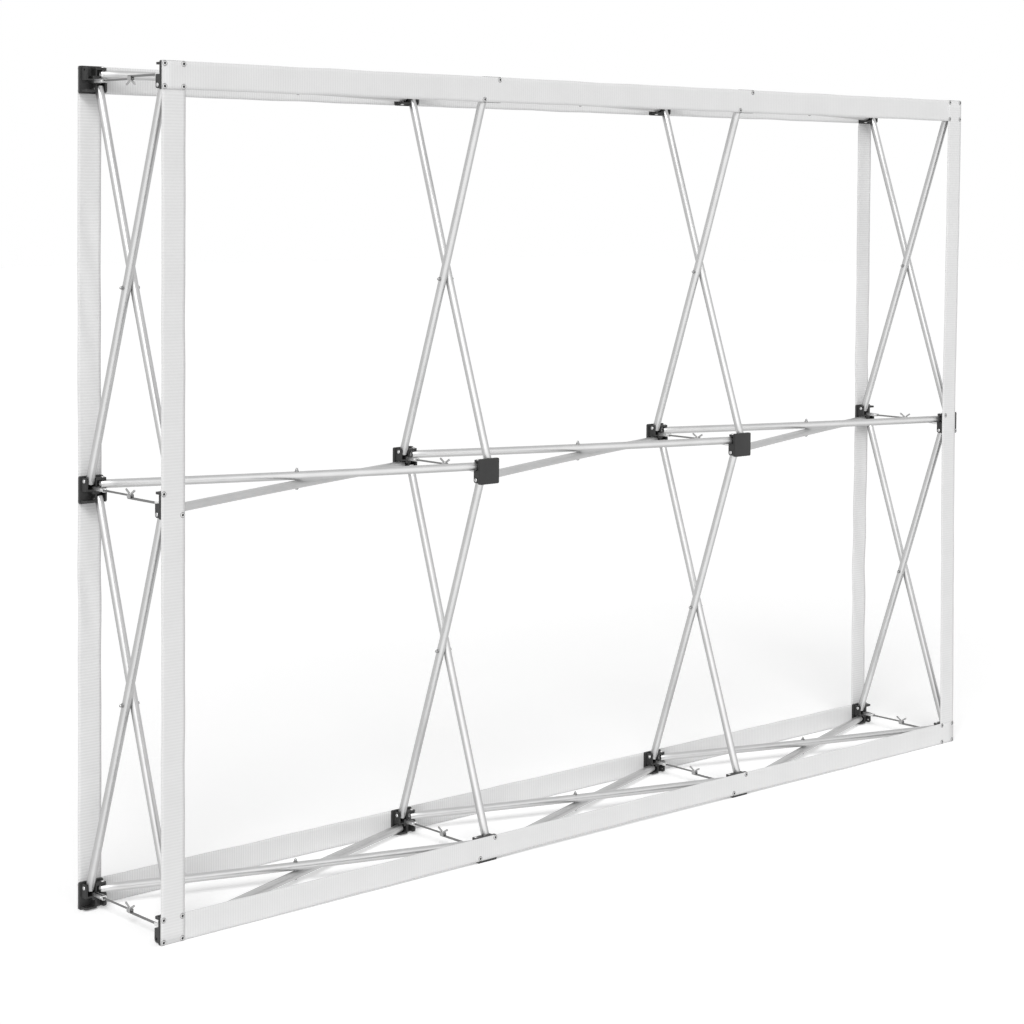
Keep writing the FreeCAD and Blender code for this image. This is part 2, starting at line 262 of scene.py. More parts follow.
def shade(mesh, smooth_angle):
    """Smooth shading, with edges sharper than an angle kept sharp."""
    mesh.shade_smooth()
    mesh.set_sharp_from_angle(angle=math.radians(smooth_angle))


def add_uv(mesh, name, flat):
    """A UV map from each point's flat place in millimetres."""
    layer = mesh.uv_layers.new(name=name)
    corner = np.empty(len(mesh.loops), int)
    mesh.loops.foreach_get("vertex_index", corner)
    layer.data.foreach_set("uv", flat[corner].astype(np.float32).ravel())


def dressed(piece, body, slot, *nodes):
    """Let a piece ride on a body and stand for CAD nodes; the slot is not used."""
    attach(piece, body)
    if nodes:
        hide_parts(*nodes)
    return piece


# Materials

def linear(code):
    """An sRGB hex colour as linear red, green, blue and alpha."""
    channels = [int(code[k:k + 2], 16) / 255 for k in (1, 3, 5)]
    return [c / 12.92 if c <= 0.04045 else ((c + 0.055) / 1.055) ** 2.4 for c in channels] + [1.0]


def node(tree, kind, inputs=None, **settings):
    """Add one node with its settings; an input is a value, or an output socket to link."""
    made = tree.nodes.new(kind)
    for name, value in settings.items():
        setattr(made, name, value)
    for key, value in (inputs or {}).items():
        if isinstance(value, bpy.types.NodeSocket):
            tree.links.new(value, made.inputs[key])
        else:
            made.inputs[key].default_value = value
    return made


def new_material(name):
    """An empty node material; returns the material and its node tree."""
    material = bpy.data.materials.new(name)
    material.use_nodes = True
    material.node_tree.nodes.clear()
    return material, material.node_tree


def per_metre(size_mm):
    """A texture scale whose features are about a size in millimetres apart."""
    return 1 / (size_mm * MM)


def hard_surface(tree, tones, cloud, texture, roughness, relief, **inputs):
    """The end of a hard finish: two tones mixed by a cloud, with sheen and relief from a texture.

    Roughness is given as its lowest and highest value, and relief as the bump's strength and height in mm.
    """
    tint = node(tree, "ShaderNodeMix", {
        "Factor": cloud.outputs["Fac"], 6: linear(tones[0]), 7: linear(tones[1])}, data_type="RGBA")
    rough = node(tree, "ShaderNodeMapRange", {
        "Value": texture.outputs["Fac"], "To Min": roughness[0], "To Max": roughness[1]})
    bump = node(tree, "ShaderNodeBump", {
        "Height": texture.outputs["Fac"], "Strength": relief[0], "Distance": relief[1] * MM})
    shader = node(tree, "ShaderNodeBsdfPrincipled", {
        "Base Color": tint.outputs[2], "Roughness": rough.outputs["Result"],
        "Normal": bump.outputs["Normal"], **inputs})
    node(tree, "ShaderNodeOutputMaterial", {"Surface": shader.outputs["BSDF"]})


def black_plastic(name, settings):
    """Moulded ABS with a spark-eroded grain: an even dark grey whose sheen is broken up by the grain."""
    cloud_mm = 18.0
    material, tree = new_material(name)
    place = node(tree, "ShaderNodeTexCoord").outputs["Object"]
    grain = node(tree, "ShaderNodeTexNoise", {
        "Vector": place, "Scale": per_metre(settings.grain_mm), "Detail": 3.0, "Roughness": 0.6})
    cloud = node(tree, "ShaderNodeTexNoise", {"Vector": place, "Scale": per_metre(cloud_mm), "Detail": 2.0})
    tones = settings.plastic_dark, settings.plastic_pale
    hard_surface(tree, tones, cloud, grain, roughness=(0.42, 0.66), relief=(0.35, 0.12), IOR=1.53)
    return material


def drawn_aluminium(name, settings):
    """Drawn and satin-anodised aluminium tube: long faint draw lines, seen as streaks in its sheen."""
    line_wide_mm, line_long_mm, patch_mm = 0.5, 60.0, 45.0
    material, tree = new_material(name)
    flat = node(tree, "ShaderNodeUVMap", uv_map="tube_mm").outputs["UV"]
    place = node(tree, "ShaderNodeTexCoord").outputs["Object"]
    stretch = node(tree, "ShaderNodeMapping", {
        "Vector": flat, "Scale": (1 / line_wide_mm, 1 / line_long_mm, 1.0)})
    lines = node(tree, "ShaderNodeTexNoise", {
        "Vector": stretch.outputs["Vector"], "Scale": 1.0, "Detail": 4.0, "Roughness": 0.65})
    patch = node(tree, "ShaderNodeTexNoise", {"Vector": place, "Scale": per_metre(patch_mm), "Detail": 2.0})
    tones = settings.tube_dark, settings.tube_pale
    hard_surface(tree, tones, patch, lines, roughness=(0.32, 0.46), relief=(0.12, 0.05), Metallic=1.0)
    return material


# Tones, lowest and highest roughness, and the size of the plating bath's patches in millimetres
PLATINGS = {
    "nickel_plated_steel": ("#a9a9a9", "#d0d0d0", 0.18, 0.34, 6.0),
    "bright_zinc_steel": ("#d3d3d3", "#e8e8e8", 0.34, 0.5, 9.0),
    "zinc_plated_steel": ("#959595", "#bababa", 0.22, 0.38, 9.0),
    "plain_steel_rivet": ("#7c7c7c", "#a6a6a6", 0.16, 0.28, 5.0),
    "dark_steel_rod": ("#727272", "#8c8c8c", 0.3, 0.5, 12.0),
}


def plated_steel(name):
    """Plated steel: bright metal, slightly uneven in tone and sheen from the plating bath."""
    dark, pale, rough_low, rough_high, patch_mm = PLATINGS[name]
    material, tree = new_material(name)
    place = node(tree, "ShaderNodeTexCoord").outputs["Object"]
    patch = node(tree, "ShaderNodeTexNoise", {"Vector": place, "Scale": per_metre(patch_mm), "Detail": 4.0})
    hard_surface(tree, (dark, pale), patch, patch, (rough_low, rough_high),
                 relief=(0.1, 0.05), Metallic=1.0)
    return material


def woven_tape(name, settings, tones, rib_weight):
    """One side of woven nylon loop tape, off-white: cross ribs of the weave and a fine nap.

    The real ribs are about 1 mm apart. They are drawn at rib_mm so that they show in the render, and
    rib_weight is their height against the nap's. Where the height is low, between the ribs, the tone is
    mixed towards a darker one as painted shade.
    """
    # hollow is the darker tone of the painted shade between the ribs
    dark, pale, hollow = tones
    nap_mm, cloud_mm = 0.9, 70.0
    material, tree = new_material(name)
    place = node(tree, "ShaderNodeUVMap", uv_map="tape_mm").outputs["UV"]
    parts = node(tree, "ShaderNodeSeparateXYZ", {"Vector": place})
    nap = node(tree, "ShaderNodeTexNoise", {
        "Vector": place, "Scale": 1 / nap_mm, "Detail": 5.0, "Roughness": 0.7})
    phase = node(tree, "ShaderNodeMath", {
        0: parts.outputs["Y"], 1: TAU / settings.rib_mm, 2: 0.0}, operation="MULTIPLY_ADD")
    wander = node(tree, "ShaderNodeMath", {
        0: nap.outputs["Fac"], 1: 1.6, 2: phase.outputs["Value"]}, operation="MULTIPLY_ADD")
    rib = node(tree, "ShaderNodeMath", {0: wander.outputs["Value"]}, operation="SINE")
    rib_share = node(tree, "ShaderNodeMapRange", {
        "Value": rib.outputs["Value"], "From Min": -1.0, "From Max": 1.0})
    height = node(tree, "ShaderNodeMath", {
        0: rib_share.outputs["Result"], 1: rib_weight, 2: nap.outputs["Fac"]}, operation="MULTIPLY_ADD")
    cloud = node(tree, "ShaderNodeTexNoise", {"Vector": place, "Scale": 1 / cloud_mm, "Detail": 3.0})
    base = node(tree, "ShaderNodeMix", {
        "Factor": cloud.outputs["Fac"], 6: linear(dark), 7: linear(pale)}, data_type="RGBA")
    # painted shade: the low parts between the ribs are mixed towards the darker tone
    painted_shade_share = node(tree, "ShaderNodeMapRange", {
        "Value": height.outputs["Value"], "From Min": 0.3, "From Max": 0.65 + rib_weight,
        "To Min": 0.42, "To Max": 0.0})
    tint = node(tree, "ShaderNodeMix", {
        "Factor": painted_shade_share.outputs["Result"], 6: base.outputs[2], 7: linear(hollow)}, data_type="RGBA")
    bump = node(tree, "ShaderNodeBump", {
        "Height": height.outputs["Value"], "Strength": 0.5, "Distance": 0.35 * MM})
    shader = node(tree, "ShaderNodeBsdfPrincipled", {
        "Base Color": tint.outputs[2], "Roughness": 0.88, "Sheen Weight": 0.25, "Sheen Roughness": 0.5,
        "Normal": bump.outputs["Normal"]})
    node(tree, "ShaderNodeOutputMaterial", {"Surface": shader.outputs["BSDF"]})
    return material


def finish(name):
    """A material by its name, made the first time it is asked for."""
    made = bpy.data.materials.get(name)
    if made is not None:
        return made
    if name in PLATINGS:
        return plated_steel(name)
    settings = bpy.context.scene.wall_finishes
    if name == "moulded_black_abs":
        return black_plastic(name, settings)
    if name == "satin_drawn_aluminium":
        return drawn_aluminium(name, settings)
    if name == "woven_loop_tape":
        tones = settings.loop_dark, settings.loop_pale, settings.loop_painted_shade
        return woven_tape(name, settings, tones, rib_weight=0.4)
    # the backing's paler tones are painted light on the back strips' inner faces, which lie in more shade
    tones = settings.backing_dark, settings.backing_pale, settings.backing_painted_shade
    return woven_tape(name, settings, tones, rib_weight=0.8)


# Sizes and colours that a user may change

def length(name, description, size_mm):
    """A length property, from its size in millimetres."""
    return FloatProperty(name=name, description=description, default=size_mm * MM, min=0.0, unit="LENGTH")


def angle_of(name, description, degrees):
    """An angle property, from its size in degrees."""
    return FloatProperty(name=name, description=description, default=math.radians(degrees), subtype="ANGLE")


def amount(name, description, value):
    """A property that is a plain number."""
    return FloatProperty(name=name, description=description, default=value)


def direction_of(name, description, values):
    """A property that holds a direction."""
    return FloatVectorProperty(name=name, description=description, default=values, subtype="DIRECTION")


def colour(name, description, code):
    """A colour property, as an sRGB hex code."""
    return StringProperty(name=name, description=description, default=code)


class WallHubSizes(bpy.types.PropertyGroup):
    """Sizes of the hub moulding and its pins."""

    plate_thick: length("Plate thickness", "Thickness of the square plate", 6)
    corner: length("Plate corner", "Corner radius of the plate", 3)
    boss: length("Boss size", "Side of the square centre boss", 14)
    boss_corner: length("Boss corner", "Corner radius of the boss, and of a lug's foot", 1.5)
    boss_depth: length("Boss depth", "Depth of the boss from the outer face", 20)
    web_thick: length("Web thickness", "Thickness of a web arm", 3)
    web_depth: length("Web depth", "Depth of a web arm from the outer face", 21)
    lug_thick: length("Lug thickness", "Thickness of an outer lug", 4)
    lug_inset: length("Lug inset", "Outer side of a lug in from the plate's edge", 3)
    lug_depth: length("Lug depth", "Depth of an outer lug from the outer face", 22)
    lug_end: length("Lug end", "End of a lug in from the plate's edge", 2)
    lug_round: length("Lug rounding", "Rounding of a lug's end round its pin", 5)
    fillet: length("Fillet", "Fillet between a web arm and the lug on its end", 2.5)
    pin_inset: length("Pin inset", "Pin axis in from the hub's edge", 8)
    pin_depth: length("Pin depth", "Pin axis in from the outer face", 15.5)
    pin_dia: length("Pin diameter", "Diameter of a hinge pin", 5)
    pin_head: length("Pin head", "Diameter of a pin's head", 7.6)
    pin_dome: length("Pin dome", "Height of a pin's domed head over its rim", 1.6)
    edge: length("Edge rounding", "Rounding of the moulding's edges", 0.5)


class WallTubeSizes(bpy.types.PropertyGroup):
    """Sizes of the tubes and their centre rivets."""

    dia: length("Tube diameter", "Outside diameter of a tube", 16)
    wall: length("Tube wall", "Wall thickness of a tube", 1)
    past_pin: length("Past the pin", "Tube beyond its end pin", 4.5)
    clear: length("Clearance", "Gap between a tube's end and the web arm beside it", 0.25)
    bow: length("Bow", "How far a tube is drawn towards its partner at their rivet", 1.5)
    rivet_dia: length("Rivet diameter", "Diameter of a centre rivet's shank", 5)
    rivet_head: length("Rivet head", "Diameter of a centre rivet's head", 8)
    sides: IntProperty(name="Sides", description="Facets round a tube", default=32, min=8)


class WallStrutSizes(bpy.types.PropertyGroup):
    """Sizes of the depth struts and their latches."""

    bracket_width: length("Bracket width", "Width of the channel bracket", 9)
    bracket_height: length("Bracket height", "Height of the channel bracket", 7)
    bracket_wall: length("Bracket wall", "Sheet thickness of the bracket", 1.2)
    bracket_length: length("Bracket length", "Length of the bracket", 29)
    bracket_bend: length("Bracket bend", "Outer radius of the bracket's bends", 1.6)
    bracket_hollow: length("Bracket hollow", "Inner radius of the bracket's bends", 0.5)
    cross_rivet: length("Cross rivet", "Diameter of the rivet across the bracket", 3.4)
    cross_height: length("Cross rivet height", "Cross rivet over the bracket's floor", 3.2)
    cross_inset: length("Cross rivet inset", "Cross rivet in from the bracket's open end", 6)
    front_rod: length("Front rod", "Diameter of the front strut rod", 4.6)
    back_rod: length("Back rod", "Diameter of the back strut rod", 3.8)
    rod_inset: length("Rod inset", "Start of a rod inside its bracket", 5)
    rod_lap: length("Rod lap", "Lap of the two rods", 14)
    rod_clear: length("Rod clearance", "Gap between the lapped rods", 0.5)
    latch_length: length("Latch length", "Length of the latch's saddle", 11)
    latch_wall: length("Latch wall", "Sheet thickness of the latch's saddle", 0.9)
    latch_bend: length("Latch bend", "Outer radius of the saddle's bends", 1.8)
    latch_hollow: length("Latch hollow", "Inner radius of the saddle's bends", 0.8)
    latch_lip: length("Latch lip", "Rounding of the saddle's lower edges", 0.4)
    wing_reach: length("Wing reach", "Reach of a wing along the strut", 15)
    wing_height: length("Wing height", "Height of a wing over the saddle", 7.5)
    wing_thick: length("Wing thickness", "Thickness of a wing", 2.2)
    wing_root: length("Wing root", "Width of a wing at the saddle", 3)
    wing_lobe: length("Wing lobe", "Width of a wing's round tip", 4.2)


class WallStripSizes(bpy.types.PropertyGroup):
    """Sizes of the loop-tape strips and their rivets."""

    width: length("Tape width", "Width of the loop tape", 49)
    thick: length("Tape thickness", "Thickness of the loop tape", 1.2)
    step: length("Step", "Length of one step of a strip's mesh", 20)
    lap_run: length("Lap run", "Length from a strip's lapped end that stays at the lap's height", 480)
    air: length("Air", "Air between a strip and the hub or strip below it", 0.05)
    ramp: length("Ramp", "Length over which a strip comes down from its lap to the next hub", 240)
    wander: length("Wander", "How far a strip's edges wander between hubs", 0.35)
    crease: length("Crease", "Depth of the soft creases in the back upright strips", 2.4)
    crease_run: length("Crease run", "Length of one crease along a strip", 170)
    drawn_in: length("Drawn in", "How far the front right strip is drawn inwards at its middle hub", 7)
    edge_up: length("Edge up", "How far the front bottom strip's lower edge is drawn up at mid-length", 5.5)
    rivet_head: length("Rivet head", "Diameter of a strip rivet's head", 10)
    rivet_place: length("Rivet place", "Rivets off the hub's middle, both ways", 19.6)


class WallFinishes(bpy.types.PropertyGroup):
    """Colours of the main finishes, and scales of their patterns."""

    plastic_dark: colour("Plastic, dark", "Darker tone of the moulded plastic", "#121212")
    plastic_pale: colour("Plastic, pale", "Paler tone of the moulded plastic", "#1b1b1b")
    tube_dark: colour("Tube, dark", "Darker tone of the tubes", "#b6b6b6")
    tube_pale: colour("Tube, pale", "Paler tone of the tubes", "#c3c3c3")
    loop_dark: colour("Loops, dark", "Darker tone of the tape's loops", "#d9d9d9")
    loop_pale: colour("Loops, pale", "Paler tone of the tape's loops", "#e3e3e3")
    # painted shade between the ribs of the loops
    loop_painted_shade: colour("Loops, hollows", "Tone between the ribs of the loops", "#c5c5c5")
    # the backing's tones are paler than the loops' as painted light, which lifts the back strips' inner
    # faces where more shade falls
    backing_dark: colour("Backing, dark", "Darker tone of the tape's backing", "#e0e0e0")
    backing_pale: colour("Backing, pale", "Paler tone of the tape's backing", "#ebebeb")
    # painted shade between the ribs of the backing
    backing_painted_shade: colour("Backing, hollows", "Tone between the backing's ribs", "#c4c4c4")
    grain_mm: amount("Plastic grain", "Grain of the moulded plastic, mm", 0.9)
    rib_mm: amount("Tape rib", "Drawn spacing of the tape's ribs, mm", 5.4)


class WallStage(bpy.types.PropertyGroup):
    """Camera, floor and lights."""

    camera_place: FloatVectorProperty(
        name="Camera", description="Place of the camera", default=(-3.3276, -3.3717, 1.307), unit="LENGTH")
    heading: angle_of("Heading", "Camera's turn to the right of +Y", 41.564)
    tilt: angle_of("Tilt", "Camera's tilt above level", -1.858)
    roll: angle_of("Roll", "Camera's roll", 0.32)
    sensor_mm: amount("Sensor", "Width of the camera's sensor", 36.0)
    lens_mm: amount("Lens", "Focal length of the camera", 79.65)
    shift: FloatVectorProperty(
        name="Shift", description="Sensor shift, for the photograph's crop", size=2,
        default=(0.0526, -0.2407))
    floor_size: length("Floor size", "Side of the floor", 60000)
    floor_glow: amount("Floor glow", "Added light of the floor as seen, so that it shows white", 0.26)
    room_level: amount("Room light", "Level of the room's even light", 0.36)
    key_level: amount("Key light", "Strength of the soft key light", 1.6)
    key_from: direction_of("Key from", "Direction that the key light comes from", (-0.55, -0.5, 0.75))
    key_angle: angle_of("Key softness", "Angle that the key light takes up", 28)
    front_level: amount("Front light", "Strength of the broad front light", 1.45)
    front_from: direction_of("Front from", "Direction that the front light comes from", (-0.48, -0.87, 0.0))
    front_angle: angle_of("Front breadth", "Angle that the front light takes up", 110)


# Hubs

def clevis_turns():
    """The four quarter turns about the hub's axis: right, top, left and bottom clevis."""
    return [turn_about("Z", 90 * number) for number in range(4)]


def hub_pose(layer):
    """The turn from a hub's own frame, with its outer face at z = 0 and z inwards, to the wall's."""
    stand = turn_about("X", 90)
    return stand if layer == "back" else turn_about("Z", 180) @ stand


def used_clevises(layer, column, row):
    """Which of a hub's clevises hold a tube, counted right, top, left, bottom in its own frame."""
    right, left = column < LAST_COLUMN, column > 0
    if layer == "front":
        right, left = left, right
    return [right, row < LAST_ROW, left, row > 0]


def on_edge(outline, low, high):
    """An outline in x and z carried along y."""
    points, faces = prism(outline, low, high)
    return points[:, [0, 2, 1]], [face[::-1] for face in faces]


def combined(base, others, operation):
    """Join one object's mesh with other shells, or cut it by them, by exact booleans in order."""
    for shell in others:
        other = in_scene("cutter", mesh_of("cutter", shell))
        change = base.modifiers.new("combine", "BOOLEAN")
        change.operation = operation
        change.solver = "EXACT"
        change.object = other
        settle(base)
        bpy.data.objects.remove(other)


def settle(piece):
    """Apply all modifiers of a piece to its mesh."""
    graph = bpy.context.evaluated_depsgraph_get()
    mesh = bpy.data.meshes.new_from_object(piece.evaluated_get(graph))
    piece.modifiers.clear()
    piece.data = mesh


def hub_mesh(sizes, lap=1 * MM, lug_lap=0.1 * MM, steps=6):
    """The hub moulding's mesh in its own frame: plate, boss and four hooks, each an arm with a bored lug.

    The lug of one clevis stands on the end of the next web arm, with a fillet in the corner between them.
    The solids lap into each other, so that they join cleanly.
    """
    edge, half, web = HUB_SIZE / 2, sizes.boss / 2, sizes.web_thick / 2
    side = edge - sizes.lug_inset
    inner = side - sizes.lug_thick
    sunk = sizes.plate_thick / 2
    plate = prism(rounded(box_outline(-edge, edge, -edge, edge), sizes.corner), 0, sizes.plate_thick)
    boss = prism(rounded(box_outline(-half, half, -half, half), sizes.boss_corner), sunk, sizes.boss_depth)
    arm = prism(box_outline(-web, web, half - lap, side - lap), sunk, sizes.web_depth)
    lug_outline = box_outline(-web - lug_lap, edge - sizes.lug_end, sunk, sizes.lug_depth)
    lug = on_edge(rounded(lug_outline, (0, 0, sizes.lug_round, sizes.boss_corner)), inner, side)
    far, near = web + sizes.fillet, inner - sizes.fillet
    hollow = arc((far, near), sizes.fillet, np.linspace(math.pi / 2, math.pi, steps + 1))
    corner = [(web - lap, inner + lap), (web - lap, near), *hollow[::-1], (far, inner + lap)]
    fillet = prism(np.array(corner), sunk, sizes.web_depth - lap)
    radius, bore_long = sizes.pin_dia / 2, 1.2 * edge
    bore = moved(lathe([(radius, 0), (radius, bore_long)]), turn_about("X", -90),
                 (edge - sizes.pin_inset, inner - sizes.lug_thick / 2, sizes.pin_depth))
    moulding = make_piece("hub_moulding", plate, "moulded_black_abs")
    shells = [boss] + [moved(part, turn) for turn in clevis_turns() for part in (arm, lug, fillet)]
    combined(moulding, shells, "UNION")
    combined(moulding, [moved(bore, turn) for turn in clevis_turns()], "DIFFERENCE")
    bevel = moulding.modifiers.new("edges", "BEVEL")
    bevel.width = sizes.edge
    bevel.segments = 2
    bevel.limit_method = "ANGLE"
    bevel.angle_limit = math.radians(40)
    bevel.use_clamp_overlap = True
    settle(moulding)
    mesh = moulding.data
    bpy.data.objects.remove(moulding)
    shade(mesh, smooth_angle=50)
    return mesh


def pin_shell(sizes, rim=0.5 * MM, step=0.1 * MM, tail_rim=0.7 * MM, tail_long=1.2 * MM):
    """One hinge pin in its clevis: a shank with a domed head on the lug and a peened tail on the web."""
    side = HUB_SIZE / 2 - sizes.lug_inset
    radius, head = sizes.pin_dia / 2, sizes.pin_head / 2
    peened, tip = 1.25 * radius, 0.5 * radius
    tail = -sizes.web_thick / 2
    shank = [(tip, tail - tail_long), (peened, tail - tail_rim), (peened, tail), (radius, tail),
             (radius, side), (head, side), (head, side + rim)]
    profile = np.concatenate([shank, dome(head, sizes.pin_dome, side + rim + step)])
    place = (HUB_SIZE / 2 - sizes.pin_inset, 0, sizes.pin_depth)
    return moved(lathe(profile), turn_about("X", -90), place)


class WALL_OT_hubs(bpy.types.Operator):
    """Make the hub mouldings and their hinge pins"""

    bl_idname = "wall.hubs"
    bl_label = "Hubs"

    def execute(self, context):
        sizes = context.scene.wall_hubs
        master = hub_mesh(sizes)
        pin = pin_shell(sizes)
        for layer in LAYERS:
            pose = hub_pose(layer)
            for column, row, body, place in hubs_of(layer):
                mesh = master.copy()
                mesh.transform(Matrix.Translation(place) @ Matrix(pose.tolist()).to_4x4())
                dressed(in_scene(f"moulding_{body}", mesh), body, "hub_plastic", body)
                used = used_clevises(layer, column, row)
                pins = joined(*[moved(pin, turn) for turn, taken in zip(clevis_turns(), used) if taken])
                piece = make_piece(f"pins_{body}", moved(pins, pose, place), "nickel_plated_steel")
                dressed(piece, body, "hub_plastic")
        bpy.data.meshes.remove(master)
        return {"FINISHED"}


# Tubes

def pin_reach(hubs):
    """A tube from pin to pin: its run along the wall and its rise through the depth."""
    return PITCH - HUB_SIZE + 2 * hubs.pin_inset, FRAME_DEPTH - 2 * hubs.pin_depth


def tube_rings(half, sizes, inset, way, count=23, ease=0.4 * MM, rim=0.25 * MM):
    """Rings of a tube along x, with its pin axes along z, set in by a wall.

    A ring is y = r cos a, z = r sin a + d. The rivet draws the tube aside by d = bow cos(pi x / 2 h), up or
    down as way says, where h is half the length. The rim at each end is eased.
    """
    places = np.concatenate([[-half], np.linspace(ease - half, half - ease, count), [half]])
    angles = np.arange(sizes.sides) * TAU / sizes.sides
    eased = np.where(np.abs(places) > half - ease / 2, rim, 0) * (1 if inset == 0 else -1)
    radius = (sizes.dia / 2 - inset - eased)[:, None]
    drawn = way * sizes.bow * np.cos(math.pi * places / (2 * half))
    rings = np.empty((len(places), sizes.sides, 3))
    rings[:, :, 0] = places[:, None]
    rings[:, :, 1] = radius * np.cos(angles)
    rings[:, :, 2] = radius * np.sin(angles) + drawn[:, None]
    return rings


def tube_shell(half, sizes, way):
    """A hollow tube: its outer rings one way and its inner rings back, joined at both rims."""
    outer = tube_rings(half, sizes, 0, way)
    inner = tube_rings(half, sizes, sizes.wall, way)[::-1]
    return skin(np.concatenate([outer, inner]), loop=True)


def tube_flat(shell, sizes):
    """Flat places on a tube in millimetres: round it from the angle about its axis, and along it."""
    points = shell[0]
    round_mm = (np.arctan2(points[:, 2], points[:, 1]) % TAU) * sizes.dia / 2 / MM
    return np.stack([round_mm, points[:, 0] / MM], axis=1)


# The rivet's nose: shares of the head's radius, and millimetres above the tube
NOSE = np.array([(1.0, -0.6), (1.0, 1.2), (0.74, 1.5), (0.7, 3.6), (0.62, 4.6), (0.46, 5.8), (0.2, 6.6)])


def rivet_shell(offset, sizes, dome_height=1.8 * MM, rim=0.6 * MM, seat=0.7 * MM):
    """A centre rivet along z through two tubes: a low domed head below, a flange with a drawn nose above."""
    radius, head = sizes.rivet_dia / 2, sizes.rivet_head / 2
    low_head = 0.87 * head
    side = offset + sizes.dia / 2
    profile = np.concatenate([
        dome(low_head, dome_height, rim)[::-1] * (1, -1) - (0, side),
        [(low_head, rim - side), (radius, seat - side), (radius, side - seat)],
        NOSE * (head, MM) + (0, side)])
    return lathe(profile)


def tube_plan():
    """All crossings: the names of the riveted and the plain tube, the middle, and whether it stands."""
    plan = []
    for row, row_name in enumerate(ROWS):
        for bay in range(LAST_COLUMN):
            middle = (hub_face("front", bay, row) + hub_face("back", bay + 1, row)) / 2
            stem = f"level_tube_{row_name}_bay_{bay + 1}_"
            plan.append((stem + "lower", stem + "upper", middle, False))
    for column in range(COLUMNS):
        for bay, bay_name in enumerate(BAYS):
            middle = (hub_face("front", column, bay) + hub_face("back", column, bay + 1)) / 2
            stem = f"upright_tube_{column + 1}_{bay_name}_"
            plan.append((stem + "left", stem + "right", middle, True))
    return plan


class WALL_OT_tubes(bpy.types.Operator):
    """Make the crossed tubes and their centre rivets"""

    bl_idname = "wall.tubes"
    bl_label = "Tubes"

    def execute(self, context):
        sizes, hubs = context.scene.wall_tubes, context.scene.wall_hubs
        run, rise = pin_reach(hubs)
        angle = math.degrees(math.atan2(rise, run))
        half = math.hypot(run, rise) / 2 + sizes.past_pin
        offset = (hubs.web_thick + sizes.dia) / 2 + sizes.clear
        shells = {way: tube_shell(half, sizes, way) for way in (1, -1)}
        rivet = rivet_shell(offset - sizes.bow, sizes)
        stand = np.array(Matrix.Rotation(math.pi, 3, (1, 0, 1)))
        for riveted, plain, middle, stands in tube_plan():
            axis, base = ("X", stand) if stands else ("Z", np.eye(3))
            aside = base @ np.array((0, 0, offset))
            for name, sign in ((riveted, 1), (plain, -1)):
                turn = turn_about(axis, sign * angle) @ base
                place = middle - sign * aside
                piece = make_piece(f"tube_{name}", moved(shells[sign], turn, place), "satin_drawn_aluminium")
                add_uv(piece.data, "tube_mm", tube_flat(shells[sign], sizes))
                dressed(piece, name, "tube_aluminium", name)
            # the nose points up on a level crossing, and to the wall's left on an upright one
            pose = base @ turn_about("X", 180) if stands else base
            piece = make_piece(f"rivet_{riveted}", moved(rivet, pose, middle), "plain_steel_rivet")
            dressed(piece, riveted, "tube_aluminium")
        return {"FINISHED"}


# Depth struts

def channel_outline(sizes, floor, lip=0.4 * MM):
    """A channel's section, open upwards: a bent strip with rounded bends and eased lips."""
    outer, wall = sizes.bracket_width / 2, sizes.bracket_wall
    low = floor - wall
    high = low + sizes.bracket_height
    inner = outer - wall
    corners = [(-outer, low), (outer, low), (outer, high), (inner, high),
               (inner, floor), (-inner, floor), (-inner, high), (-outer, high)]
    bend, hollow = sizes.bracket_bend, sizes.bracket_hollow
    return rounded(corners, (bend, bend, lip, lip, hollow, hollow, lip, lip), steps=3)


def bracket_shell(sizes, hubs, floor, proud=0.9 * MM, ease=0.5 * MM):
    """The channel bracket on the hub's boss, with its cross rivet near the open end."""
    start = hubs.boss_depth
    end = start + sizes.bracket_length
    channel = prism(channel_outline(sizes, floor), start, end)
    across, radius = sizes.bracket_width / 2 + proud, sizes.cross_rivet / 2
    tip = radius - 1.2 * ease
    profile = [(tip, -across), (radius, ease - across), (radius, across - ease), (tip, across)]
    place = (0, floor + sizes.cross_height, end - sizes.cross_inset)
    return joined(channel, moved(lathe(profile, sides=12), turn_about("Y", 90), place))


def rod_shell(dia, height, start, end, ease=0.5 * MM):
    """A round rod along z with eased ends."""
    radius = dia / 2
    profile = [(radius - ease, start), (radius, start + ease), (radius, end - ease), (radius - ease, end)]
    return moved(lathe(profile), None, (0, height, 0))


def wing_shell(sizes, base, middle, way, sunk=0.4 * MM, bevel=0.4 * MM, ease=0.1 * MM):
    """One wing of a latch: a tapered tab in y and z that leans outwards and ends in a round lobe.

    Its outline is the tangent hull of two circles, the small one on the saddle and the large one at the tip.
    Four rings, set in towards its middle, give it bevelled edges.
    """
    small, large = sizes.wing_root / 2, sizes.wing_lobe / 2
    root = np.array([base - sunk, way * 0.8 * small])
    tip = np.array([base + sizes.wing_height - 0.45 * large, way * (sizes.wing_reach - large)])
    along = tip - root
    lean = math.atan2(along[1], along[0])
    spread = math.acos((small - large) / np.linalg.norm(along))
    outline = np.concatenate([
        arc(tip, large, lean + np.linspace(-spread, spread, 15)),
        arc(root, small, lean + np.linspace(spread, TAU - spread, 9))])
    half = sizes.wing_thick / 2
    insets = np.array([bevel + ease, ease, ease, bevel + ease])
    away = outline - outline.mean(axis=0)
    away /= np.linalg.norm(away, axis=1, keepdims=True)
    rings = np.empty((len(insets), len(outline), 3))
    rings[:, :, 0] = np.array([-half, bevel - half, half - bevel, half])[:, None]
    rings[:, :, 1:] = outline - away * insets[:, None, None]
    return moved(skin(rings), None, (0, 0, middle))


# The latch's neck: radius and height, in millimetres
NECK_MM = np.array([(2.3, 0), (2.0, 1.4), (1.4, 1.9)])


